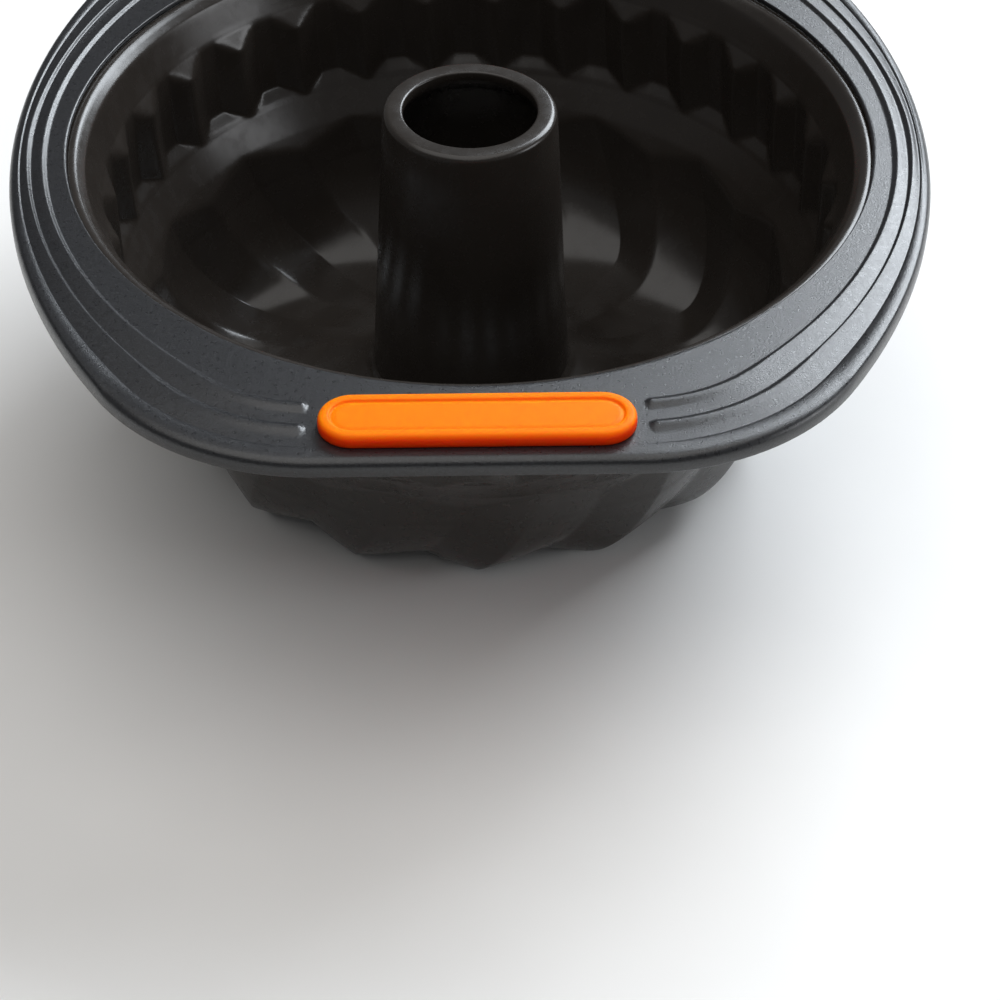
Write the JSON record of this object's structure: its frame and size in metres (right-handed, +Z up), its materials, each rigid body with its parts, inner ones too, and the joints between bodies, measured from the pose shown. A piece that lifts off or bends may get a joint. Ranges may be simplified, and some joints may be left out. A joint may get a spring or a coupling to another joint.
{
  "type": "bundt pan",
  "caption": "Round fluted cake pan with an open centre tube, swirled lower lobes and a wide two-handled flange with soft grip inserts.",
  "frame": {"origin": "centre of the box of the whole pan, on the surface it stands on, under the chimney's axis", "axes": "+Z up along the chimney; the two handles lie on -Y (front) and +Y (back)"},
  "size_m": [0.273, 0.303, 0.1083],
  "materials": {
    "nonstick_coating": "semi-gloss dark non-stick coating on steel",
    "flange_coating": "satin, finely textured black coating on steel",
    "silicone": "smooth orange silicone, low sheen"
  },
  "bodies": {
    "root": {"bowl": "nonstick_coating", "rim": "flange_coating", "centre_tube": "nonstick_coating", "front_handle_grip": "silicone", "back_handle_grip": "silicone"}
  },
  "joints": []
}
